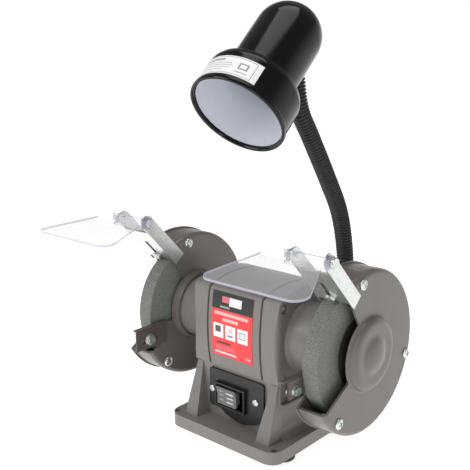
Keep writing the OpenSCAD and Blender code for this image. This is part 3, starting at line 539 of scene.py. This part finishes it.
def printed_film():
    """Printed film: inks as flat areas, and a light gloss with a faint waviness."""
    material, tree, bsdf, place = new_material("printed_label_film", Roughness=0.32)
    axes = add(tree, "ShaderNodeSeparateXYZ", {"Vector": place})
    x, z = axes.outputs["X"], axes.outputs["Z"]
    low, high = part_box("rating_label")
    left, top = low[0] * 1000, high[2] * 1000
    wide, tall = high[0] * 1000 - left, top - low[2] * 1000
    fade = add(tree, "ShaderNodeTexNoise", {"Vector": place, "Scale": 60.0})
    base = add(tree, "ShaderNodeMix", {"Factor": fade.outputs["Fac"], "A": linear("ee3437"),
                                       "B": linear("f03c3c")}, data_type="RGBA")
    colour = base.outputs["Result"]
    areas = [("1a2320", 0, 1, 0, 0.262), ("ece8e8", 0.42, 0.72, 0.06, 0.185),
             ("d86a74", 0.24, 0.41, 0.06, 0.15), ("8f9694", 0.2, 0.44, 0.205, 0.235),
             ("f6d6d4", 0.07, 0.9, 0.3, 0.35), ("f6d6d4", 0.28, 0.66, 0.385, 0.435),
             ("f4f2f2", 0.05, 0.3, 0.485, 0.705), ("f4f2f2", 0.35, 0.6, 0.485, 0.705),
             ("f4f2f2", 0.65, 0.9, 0.485, 0.705), ("4c4f55", 0.1, 0.24, 0.52, 0.62),
             ("7d8084", 0.41, 0.54, 0.63, 0.66), ("d9c9c9", 0.42, 0.53, 0.52, 0.6),
             ("8fa09c", 0.7, 0.85, 0.53, 0.645), ("d8dfdc", 0.72, 0.83, 0.545, 0.63),
             ("5e2420", 0.13, 0.48, 0.765, 0.8), ("f2787a", 0.1, 0.55, 0.835, 0.845),
             ("f2787a", 0.1, 0.6, 0.862, 0.872), ("f2787a", 0.1, 0.58, 0.889, 0.899),
             ("f8dcdc", 0.07, 0.6, 0.93, 0.957), ("f39a9a", 0.85, 0.95, 0.915, 0.95)]
    for ink, u0, u1, v0, v1 in areas:
        inside = mask(tree, x, z, left + u0 * wide, left + u1 * wide, top - v1 * tall,
                      top - v0 * tall)
        colour = over(tree, colour, ink, inside)
    # words become bars broken into short lengths
    ticks = add(tree, "ShaderNodeTexWave", {"Vector": place, "Scale": 180.0, "Distortion": 2.0,
                                            "Detail": 1.0})
    cut = add(tree, "ShaderNodeMath", {0: ticks.outputs["Fac"], 1: 0.3}, operation="LESS_THAN")
    lines = mask(tree, x, z, left + 0.06 * wide, left + 0.92 * wide, top - 0.44 * tall,
                 top - 0.29 * tall)
    gaps = add(tree, "ShaderNodeMath", {0: cut.outputs[0], 1: lines}, operation="MULTIPLY")
    colour = over(tree, colour, "ee3437", gaps.outputs[0])
    wire(tree, colour, bsdf.inputs["Base Color"])
    wave = add(tree, "ShaderNodeTexNoise", {"Vector": place, "Scale": 220.0})
    relief(tree, bsdf, wave.outputs["Fac"], 0.15, 0.00004)
    return material


piece("label", cad_copy("rating_label"), printed_film(), "frame", ["rating_label"])


# ---------------------------------------------------------------------------------------------
# Inside the housing: stacked electrical sheet, copper windings, ball bearings, the shaft, the
# capacitor and terminal block, and the gland in the back panel.


def turned_steel(name, light, dark, rough, pitch_mm):
    """Turned steel: fine tool marks round the shaft, a pitch apart, with a little smear."""
    material, tree, bsdf, place = new_material(name, Metallic=1.0)
    smear = add(tree, "ShaderNodeTexNoise", {"Vector": place, "Scale": 80.0, "Detail": 3.0})
    two_tone(tree, bsdf, smear.outputs["Fac"], light, dark)
    roughness_between(tree, bsdf, smear.outputs["Fac"], rough - 0.08, rough + 0.1)
    marks = add(tree, "ShaderNodeTexWave", {"Vector": place, "Scale": 314 / pitch_mm,
                                            "Distortion": 0.4}, bands_direction="X")
    relief(tree, bsdf, marks.outputs["Fac"], 0.2, 0.00004)
    return material


def moulded(name, light, dark, rough, grain_mm, depth_mm=0.03, clouds=70.0, **shader):
    """A moulded or glazed surface: two close tones in clouds, and a grain of the given size."""
    material, tree, bsdf, place = new_material(name, **shader)
    cloud = add(tree, "ShaderNodeTexNoise", {"Vector": place, "Scale": clouds, "Detail": 3.0})
    two_tone(tree, bsdf, cloud.outputs["Fac"], light, dark)
    roughness_between(tree, bsdf, cloud.outputs["Fac"], max(rough - 0.04, 0.02), rough + 0.06)
    grain = add(tree, "ShaderNodeTexNoise", {"Vector": place, "Scale": 1000 / grain_mm})
    relief(tree, bsdf, grain.outputs["Fac"], 0.3, depth_mm / 1000)
    return material


steel = turned_steel("turned_steel", "b9bcbd", "8f9395", 0.3, 0.25)
carried(steel, "shaft", "wheel_flanges", "neck_ferrule")
carried(turned_steel("ground_bearing_steel", "d3d6d8", "b4b8bb", 0.14, 0.05),
        "bearing_outer_rings", "bearing_balls", "bearing_inner_rings")
carried(turned_steel("stacked_electrical_sheet", "8c8f93", "5c5f63", 0.45, 0.5), "stator_core",
        "rotor_core")
carried(turned_steel("enamelled_copper_wire", "c4713a", "8a4421", 0.3, 0.8), "windings")
matte_black = moulded("textured_black_plastic", "1b1b1f", "151518", 0.42, 0.35)
carried(moulded("white_capacitor_can", "dededa", "cfcfca", 0.3, 0.5), "capacitor")
carried(moulded("natural_nylon", "e6e2d4", "dad5c4", 0.4, 0.4), "terminal_block")
piece("gland", cad_copy("cable_gland"), matte_black, "frame", ["cable_gland"],
      round_mm=0.3)


# ---------------------------------------------------------------------------------------------
# Grinding wheels: grey-green vitrified grit, dressed on the rim, with dark paper blotters under
# the flanges.


def vitrified_grit():
    """Bonded abrasive: grains under half a millimetre across, pores between them, dull."""
    material, tree, bsdf, place = new_material("vitrified_abrasive", Roughness=0.88)
    grain = add(tree, "ShaderNodeTexVoronoi", {"Vector": place, "Scale": 2100.0})
    fleck = add(tree, "ShaderNodeTexNoise", {"Vector": place, "Scale": 900.0, "Detail": 4.0})
    tone = add(tree, "ShaderNodeMath", {0: grain.outputs["Distance"], 1: fleck.outputs["Fac"]},
               operation="ADD")
    scale = add(tree, "ShaderNodeMapRange", {"Value": tone.outputs[0], "From Min": 0.5,
                                             "From Max": 1.3})
    two_tone(tree, bsdf, scale.outputs["Result"], "9a9e96", "5a5e56")
    relief(tree, bsdf, tone.outputs[0], 0.6, 0.00018)
    return material


def wheel_tree(material):
    """Geometry Nodes: push a wheel's surface in and out a little, as a dresser leaves it."""
    tree = bpy.data.node_groups.new("dress_wheel", "GeometryNodeTree")
    for name, way, kind in (("Wheel", "INPUT", "NodeSocketGeometry"),
                            ("Depth", "INPUT", "NodeSocketFloat"),
                            ("Scale", "INPUT", "NodeSocketFloat"),
                            ("Seed", "INPUT", "NodeSocketFloat"),
                            ("Dressed", "OUTPUT", "NodeSocketGeometry")):
        tree.interface.new_socket(name, in_out=way, socket_type=kind)
    given = add(tree, "NodeGroupInput")
    rough = add(tree, "ShaderNodeTexNoise", {"Scale": given.outputs["Scale"],
                                             "W": given.outputs["Seed"]},
                noise_dimensions="4D")
    down = add(tree, "ShaderNodeMath", {0: rough.outputs["Fac"], 1: -1.0}, operation="ADD")
    depth = add(tree, "ShaderNodeMath", {0: down.outputs[0], 1: given.outputs["Depth"]},
                operation="MULTIPLY")
    normal = add(tree, "GeometryNodeInputNormal")
    push = add(tree, "ShaderNodeVectorMath", {0: normal.outputs[0], "Scale": depth.outputs[0]},
               operation="SCALE")
    moved = add(tree, "GeometryNodeSetPosition", {"Geometry": given.outputs["Wheel"],
                                                  "Offset": push.outputs[0]})
    real = add(tree, "GeometryNodeRealizeInstances", {"Geometry": moved.outputs[0]})
    finish = add(tree, "GeometryNodeSetMaterial", {"Geometry": real.outputs[0],
                                                   "Material": material})
    add(tree, "NodeGroupOutput", {0: finish.outputs[0]})
    return tree


grit = vitrified_grit()
dress_wheel = wheel_tree(grit)
along_shaft = Matrix.Rotation(math.pi / 2, 4, "Y")
for side, seed in (("left", 2.0), ("right", 5.0)):
    low, high = (Vector(c) * 1000 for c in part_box("wheel_" + side))
    rim, thick = (high.z - low.z) / 2, high.x - low.x
    faces = [(6.4, 0), (20, 0), (34, 0), (48, 0), (rim, 0), (rim, 4), (rim, 8), (rim, 12),
             (rim, thick), (48, thick), (34, thick), (20, thick), (6.4, thick)]
    blank = lathe(soft(faces, 1.2, 3), Matrix.Translation((low.x / 1000, 0, axis_z / 1000))
                  @ along_shaft, steps=220, closed=True)
    mesh = use_tree(as_object("blank", blank), dress_wheel, Depth=0.00016, Scale=700.0,
                    Seed=seed)
    piece("grinding_wheel_" + side, mesh, grit, "rotor", ["wheel_" + side])
carried(moulded("dark_blotter_paper", "4a3a32", "2e241f", 0.8, 0.3), "wheel_blotters")


# ---------------------------------------------------------------------------------------------
# Wheel guards: pressed steel cups and covers coated taupe, open at the front, with a domed
# centre over each spindle nut, and the brown-grey brackets of the tool rests bolted to them.

taupe = powder_coat("taupe_powder_coat", "6f6863", "67605b", 0.3)
for node, name in (("guard_cup_left", "guard_inner_left"),
                   ("guard_plate_right", "guard_inner_right")):
    piece(name, cad_copy(node), taupe, "frame", [node], round_mm=0.55, steps=3,
          crease=28)


def domed_cover(node, sx):
    """The cover with its stepped centre exchanged for one pressed in smooth curves."""
    face = guard_out
    at_hub = Matrix.Translation((0, 0, axis_z / 1000)) @ Matrix.Rotation(
        sx * math.pi / 2, 4, "Y")
    flat = carve(cad_copy(node), [lathe([(0, face - 0.6), (36, face - 0.6), (36, face + 20),
                                         (0, face + 20)], at_hub, steps=160),
                                  lathe([(0, face - 8), (32.4, face - 8), (32.4, face + 2),
                                         (0, face + 2)], at_hub, steps=160)])
    crown = [(33.99, face - 2.2), (33.99, face + 0.6), (33.3, face + 2.6), (31.8, face + 4.6),
             (29.6, face + 5.9), (27, face + 6.4), (23.5, face + 6.3), (20, face + 6.0),
             (17.8, face + 6.1), (16, face + 6.7), (14.2, face + 7.7), (11.5, face + 8.9),
             (8, face + 9.8), (4, face + 10.25), (0, face + 10.3)]
    hollow = [(0, face + 4.4), (26, face + 4.3), (29.6, face + 3.4), (31.4, face + 1.2),
              (31.6, face - 2.2), (33.99, face - 2.2)]
    bead = [(36.4, face - 0.65), (36.4, face), (35.3, face + 0.2), (33.9, face + 1.1),
            (33.9, face - 2.2), (36.4, face - 0.65)]
    dome = lathe(list(reversed(crown)) + list(reversed(hollow)), at_hub, steps=160)
    foot = lathe(bead[:-1], at_hub, steps=160, closed=True)
    return carve(as_mesh(flat), [dome, foot], "UNION")


def as_mesh(data):
    mesh = bmesh.new()
    mesh.from_mesh(data)
    return mesh


piece("guard_outer_left", domed_cover("guard_cover_left", -1), taupe, "frame",
      ["guard_cover_left"], round_mm=0.45, steps=3, crease=34)
piece("guard_outer_right", domed_cover("guard_cup_right", 1), taupe, "frame",
      ["guard_cup_right"], round_mm=0.45, steps=3, crease=34)
rest_coat = powder_coat("brown_grey_powder_coat", "5c544f", "524a46", 0.35)
for side in ("left", "right"):
    piece("rest_bracket_" + side, cad_copy("tool_rest_" + side), rest_coat, "rest_" + side,
          ["tool_rest_" + side], round_mm=0.7, steps=3)


# ---------------------------------------------------------------------------------------------
# Switch: a black plate with a bulged lower edge, a raised frame, and a grey rocker under it with
# plain pale marks where its symbols are.

piece("plate", cad_copy("switch_plate"), matte_black, "frame", ["switch_plate"],
      round_mm=0.5, steps=3)
piece("switch_frame", cad_copy("switch_body"), matte_black, "frame", ["switch_body"],
      round_mm=0.7, steps=3)


def rocker_grey():
    """Glossy grey rocker with a column of small pale marks and pale bars."""
    material, tree, bsdf, place = new_material("glossy_grey_rocker", Roughness=0.16)
    axes = add(tree, "ShaderNodeSeparateXYZ", {"Vector": place})
    x, z = axes.outputs["X"], axes.outputs["Z"]
    low, high = (Vector(c) * 1000 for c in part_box("switch_rocker"))
    wide, tall = high.x - low.x, high.z - low.z
    cloud = add(tree, "ShaderNodeTexNoise", {"Vector": place, "Scale": 90.0})
    base = add(tree, "ShaderNodeMix", {"Factor": cloud.outputs["Fac"], "A": linear("6f7171"),
                                       "B": linear("585a5b")}, data_type="RGBA")
    colour = base.outputs["Result"]
    for ink, u0, u1, v0, v1 in (
            ("9fa1a0", 0.14, 0.36, 0.74, 0.8), ("9fa1a0", 0.14, 0.36, 0.5, 0.56),
            ("9fa1a0", 0.14, 0.36, 0.26, 0.32), ("d9dcdb", 0.5, 0.86, 0.68, 0.76),
            ("c9cccb", 0.52, 0.84, 0.42, 0.49), ("c9cccb", 0.52, 0.84, 0.2, 0.27)):
        inside = mask(tree, x, z, low.x + u0 * wide, low.x + u1 * wide, low.z + v0 * tall,
                      low.z + v1 * tall)
        colour = over(tree, colour, ink, inside)
    wire(tree, colour, bsdf.inputs["Base Color"])
    relief(tree, bsdf, cloud.outputs["Fac"], 0.1, 0.0002)
    return material


piece("rocker", cad_copy("switch_rocker"), rocker_grey(), "rocker", ["switch_rocker"],
      round_mm=0.8, steps=3)


# ---------------------------------------------------------------------------------------------
# Spark arrestors: folded zinc-plated brackets with an adjusting slot, their pan screws, and the
# headed pins with spring washers that hold the eye shields.

for side in ("left", "right"):
    piece("arrestor_" + side, cad_copy("spark_arrestor_" + side), zinc, "arrestor_" + side,
          ["spark_arrestor_" + side], round_mm=0.45, steps=3)
    piece("pins_" + side, cad_copy("shield_pins_" + side), zinc, "arrestor_" + side,
          ["shield_pins_" + side], round_mm=0.35, steps=2)


# ---------------------------------------------------------------------------------------------
# Eye shields: clear polycarbonate sheet 2 mm thick with an upstand across its root. The same
# moulding serves both wheels; its cut edges carry a painted glow, a darker violet and less clear.


def clear_sheet():
    """Clear polycarbonate: see-through faces with a soft mirror, and a painted glow on its edges.
    """
    material, tree, bsdf, place = new_material("clear_polycarbonate", IOR=1.58)
    # painted edge glow: the marked edge faces are coloured a darker violet and made less
    # see-through
    rim = add(tree, "ShaderNodeAttribute", attribute_name="edge")
    haze = add(tree, "ShaderNodeTexNoise", {"Vector": place, "Scale": 24.0})
    two_tone(tree, bsdf, rim.outputs["Fac"], "d9dade", "b9bacb")
    clear = add(tree, "ShaderNodeMapRange", {"Value": haze.outputs["Fac"], "To Min": 0.2,
                                             "To Max": 0.27})
    solid = add(tree, "ShaderNodeMath", {0: rim.outputs["Fac"], 1: 0.45,
                                         2: clear.outputs["Result"]}, operation="MULTIPLY_ADD")
    wire(tree, solid.outputs[0], bsdf.inputs["Alpha"])
    roughness_between(tree, bsdf, haze.outputs["Fac"], 0.05, 0.12)
    ripple = add(tree, "ShaderNodeTexNoise", {"Vector": place, "Scale": 50.0})
    relief(tree, bsdf, ripple.outputs["Fac"], 0.05, 0.0003)
    return material


polycarbonate = clear_sheet()
for side in ("left", "right"):
    shape = piece("shield_" + side, cad_copy("eye_shield_" + side), polycarbonate,
                  "shield_" + side, ["eye_shield_" + side], round_mm=0.5,
                  steps=3)
    # mark the sheet's cut edges and top, where the painted edge glow goes
    cut_edge = shape.data.attributes.new("edge", "FLOAT", "FACE")
    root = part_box("eye_shield_" + side)[1][1] - 0.02
    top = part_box("eye_shield_" + side)[1][2] - 0.0006
    cut_edge.data.foreach_set("value", [
        1.0 if (abs(f.normal.z) < 0.75 and f.center.y < root) or abs(f.normal.x) > 0.7
        or f.center.z > top else 0.0 for f in shape.data.polygons])


# ---------------------------------------------------------------------------------------------
# Lamp neck: a steel gooseneck in a ribbed black sleeve, about 15 mm thick with ribs 3 mm apart,
# from the lock nut on its block up to the shade. It runs along a smooth line through each joint,
# in five pieces mounted on no body.

piece("lamp_block", cad_copy("lamp_mount"), matte_black, "frame", ["lamp_mount"],
      round_mm=0.9, steps=3)


def sleeve_tree(material):
    """Geometry Nodes: a tube along a path whose radius rises and falls once per rib."""
    tree = bpy.data.node_groups.new("ribbed_sleeve", "GeometryNodeTree")
    for name, way, kind in (("Path", "INPUT", "NodeSocketGeometry"),
                            ("Radius", "INPUT", "NodeSocketFloat"),
                            ("Rib height", "INPUT", "NodeSocketFloat"),
                            ("Pitch", "INPUT", "NodeSocketFloat"),
                            ("Sleeve", "OUTPUT", "NodeSocketGeometry")):
        tree.interface.new_socket(name, in_out=way, socket_type=kind)
    given = add(tree, "NodeGroupInput")
    curve = add(tree, "GeometryNodeMeshToCurve", {"Mesh": given.outputs["Path"]})
    phase = add(tree, "GeometryNodeInputNamedAttribute", {"Name": "along"}, data_type="FLOAT")
    turns = add(tree, "ShaderNodeMath", {0: phase.outputs["Attribute"],
                                         1: given.outputs["Pitch"]}, operation="DIVIDE")
    angle = add(tree, "ShaderNodeMath", {0: turns.outputs[0], 1: 2 * math.pi},
                operation="MULTIPLY")
    wave = add(tree, "ShaderNodeMath", {0: angle.outputs[0]}, operation="COSINE")
    rise = add(tree, "ShaderNodeMath", {0: wave.outputs[0], 1: given.outputs["Rib height"],
                                        2: given.outputs["Radius"]}, operation="MULTIPLY_ADD")
    ring = add(tree, "GeometryNodeCurvePrimitiveCircle", {"Resolution": 36, "Radius": 1.0},
               mode="RADIUS")
    tube = add(tree, "GeometryNodeCurveToMesh", {"Curve": curve.outputs[0],
                                                 "Profile Curve": ring.outputs[0],
                                                 "Scale": rise.outputs[0],
                                                 "Fill Caps": True})
    real = add(tree, "GeometryNodeRealizeInstances", {"Geometry": tube.outputs[0]})
    finish = add(tree, "GeometryNodeSetMaterial", {"Geometry": real.outputs[0],
                                                   "Material": material})
    add(tree, "NodeGroupOutput", {0: finish.outputs[0]})
    return tree


neck_x = middle("neck_1").x
pivots = [Vector((neck_x, y, z)) for y, z in
          ((57, 119), (57, 126), (55, 168), (43.5, 212), (21, 249.5), (-5, 288), (-21, 312),
           (-28, 341), (-29, 347))]


def neck_line(steps=40):
    """Points of a smooth line through the pivots, with the pivot number at each."""
    line = []
    for i in range(1, len(pivots) - 2):
        a, b, c, d = pivots[i - 1:i + 3]
        for k in range(steps):
            t = k / steps
            line.append((i + t, 0.5 * (2 * b + (c - a) * t + (2 * a - 5 * b + 4 * c - d) * t * t
                                       + (3 * b - a - 3 * c + d) * t ** 3)))
    line.append((len(pivots) - 2.0, pivots[-2]))
    return line


sleeve_rubber = moulded_rubber("black_sleeve_rubber", "17171a", 0.45)
ribbed_sleeve = sleeve_tree(sleeve_rubber)
line = [(0.0, pivots[0])] + neck_line()
far = [0.0]
for (_, a), (_, b) in zip(line, line[1:]):
    far.append(far[-1] + (b - a).length)
cuts = [0.0, 1.5, 2.5, 3.5, 4.5, 7.0]


def at_length(s):
    """The point that lies s millimetres along the neck from its foot."""
    for i in range(1, len(far)):
        if far[i] >= s:
            t = (s - far[i - 1]) / (far[i] - far[i - 1])
            return line[i - 1][1].lerp(line[i][1], t)
    return line[-1][1]


def length_at(mark):
    """How far along the neck a pivot number lies, in millimetres."""
    best = min(range(len(line)), key=lambda i: abs(line[i][0] - mark))
    return far[best]


ring_gap, longest_bend = 0.375, 16.0
for i in range(5):
    s0, s1 = length_at(cuts[i]), length_at(cuts[i + 1])
    count = int((s1 - s0) / ring_gap)
    marks = [s0 + (s1 - s0) * k / count for k in range(count + 1)]
    data = bpy.data.meshes.new("neck_path")
    data.from_pydata([at_length(s) / 1000 for s in marks], [(k, k + 1) for k in range(count)],
                     [])
    data.attributes.new("along", "FLOAT", "POINT").data.foreach_set("value",
                                                                    [s / 1000 for s in marks])
    mesh = use_tree(as_object("neck_path", data), ribbed_sleeve, Radius=0.0075, Pitch=0.003,
                    **{"Rib height": 0.0007})
    part = piece("sleeve_" + str(i + 1), mesh, sleeve_rubber, None, ["neck_" + str(i + 1)],
                 crease=60)
    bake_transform(part)


# ---------------------------------------------------------------------------------------------
# Lamp shade: glossy black, a wide stepped collar with a rolled rim and a domed body, white
# enamel inside, with a porcelain holder, a frosted bulb and a push button on the dome.

mouth = Matrix.Translation((0.056, -0.102, 0.3128)) @ Matrix.Rotation(math.radians(2.3), 4, "Z") \
    @ Matrix.Rotation(math.radians(41.75 - 90), 4, "X")
gloss_black = moulded("glossy_black_enamel", "0c0c0f", "08080b", 0.12, 3.0, 0.004, 30.0,
                      **{"Specular IOR Level": 0.3})
dome_from_mouth = 88.5
dome, inner_dome = (
    [(r * math.cos(math.radians(a)), dome_from_mouth + r * math.sin(math.radians(a)))
     for a in angles] for r, angles in ((28.45, range(6, 84, 6)), (26.5, range(78, 10, -8))))
outside = soft([(38.1, 1.2), (38.6, 0), (40.6, 0), (41, 1.6), (40.9, 3.6), (40, 4.4), (40, 29),
                (37.6, 34.5), (30.8, 37.6), (28.5, 39.2), (28.5, dome_from_mouth)], 1.6, 5) \
    + dome \
    + [(3.4, 116.8), (3.4, 114.6)] + inner_dome \
    + [(26.5, 88), (26.5, 37), (35.4, 34), (38, 29), (38.1, 1.2)]
piece("shade", lathe(outside, mouth, steps=160), gloss_black, "lamp_head", ["lamp_shade"],
      crease=50)
enamel = moulded("white_enamel", "c9cdd6", "bfc4ce", 0.28, 1.2, 0.02)
skin = soft([(16, 88.9), (25.9, 86.5), (26.2, 37), (30, 28), (37.7, 7), (37.8, 3.2),
             (36.9, 3.2)], 3.0, 5) + [Vector((36.6, 6)), Vector((29, 28)), Vector((25.1, 38)),
                                      Vector((25, 84)), Vector((16, 88))]
piece("shade_lining", lathe(skin, mouth, steps=160, closed=True), enamel, "lamp_head",
      ["lamp_reflector"], crease=50)
carried(moulded("glazed_porcelain", "f0ede4", "e6e2d6", 0.15, 2.0), "lamp_holder")
carried(moulded("frosted_bulb_glass", "f2f1ec", "e8e7e1", 0.35, 0.2,
                **{"Transmission Weight": 0.25}), "lamp_bulb")
piece("push_button", lathe(soft([(0, 122.9), (2.7, 122.9), (3.2, 122), (3.2, 109.2),
                                 (5, 109.2), (5, 107.8), (0, 107.8)], 0.6, 4), mouth, steps=48),
      gloss_black, "button", ["lamp_button"], crease=50)


def sticker_paper():
    """White sticker with a thin grey frame and pale bars where a warning has its words."""
    material, tree, bsdf, place = new_material("white_sticker", Roughness=0.35)
    uv = add(tree, "ShaderNodeUVMap", uv_map="sticker_mm")
    axes = add(tree, "ShaderNodeSeparateXYZ", {"Vector": uv.outputs[0]})
    u, v = axes.outputs["X"], axes.outputs["Y"]
    cloud = add(tree, "ShaderNodeTexNoise", {"Vector": place, "Scale": 100.0})
    base = add(tree, "ShaderNodeMix", {"Factor": cloud.outputs["Fac"], "A": linear("f4f4f5"),
                                       "B": linear("ececee")}, data_type="RGBA")
    colour = base.outputs["Result"]
    for ink, u0, u1, v0, v1 in (
            ("6e7074", 1, 77, 1, 17.2), ("f2f2f3", 1.4, 76.6, 1.4, 16.8),
            ("a9abaf", 20, 50, 13, 15.2), ("c6c8cc", 12, 58, 10.4, 11.4),
            ("c6c8cc", 12, 60, 8.2, 9.2), ("c6c8cc", 12, 58, 6, 7), ("c6c8cc", 18, 52, 3.6, 4.6),
            ("8f9296", 64, 72, 7, 13), ("ececee", 65.4, 70.6, 8.2, 11.8),
            ("b4b6ba", 63, 73, 3.6, 4.8)):
        colour = over(tree, colour, ink, mask(tree, u, v, u0, u1, v0, v1))
    wire(tree, colour, bsdf.inputs["Base Color"])
    relief(tree, bsdf, cloud.outputs["Fac"], 0.1, 0.0001)
    return material


def sticker(start, end, low, high, steps=48):
    """A thin curved patch on the collar between two angles and two distances from the mouth."""
    mesh = bmesh.new()
    layer = mesh.loops.layers.uv.new("sticker_mm")
    cols, spots = [], {}
    for i in range(steps + 1):
        a = math.radians(start + (end - start) * i / steps)
        pair = []
        for h in (low, high):
            for r in (40.02, 40.14):
                vert = mesh.verts.new(mouth @ Vector((r * math.cos(a) / 1000,
                                                      r * math.sin(a) / 1000, h / 1000)))
                spots[vert] = (abs(math.radians(end - start)) * 40 * i / steps / 1000,
                               (h - low) / 1000)
                pair.append(vert)
        cols.append(pair)
    for a, b in zip(cols, cols[1:]):
        for p, q in ((0, 1), (1, 3), (3, 2), (2, 0)):
            mesh.faces.new((a[p], a[q], b[q], b[p]))
    for end_col in (cols[0], cols[-1]):
        mesh.faces.new((end_col[0], end_col[1], end_col[3], end_col[2]))
    bmesh.ops.recalc_face_normals(mesh, faces=mesh.faces)
    for face in mesh.faces:
        for loop in face.loops:
            loop[layer].uv = spots[loop.vert]
    return mesh


STICKER_SPAN = (-162.0, -45.0)
piece("warning_sticker", sticker(*STICKER_SPAN, 5.5, 23.7), sticker_paper(), "lamp_head",
      ())
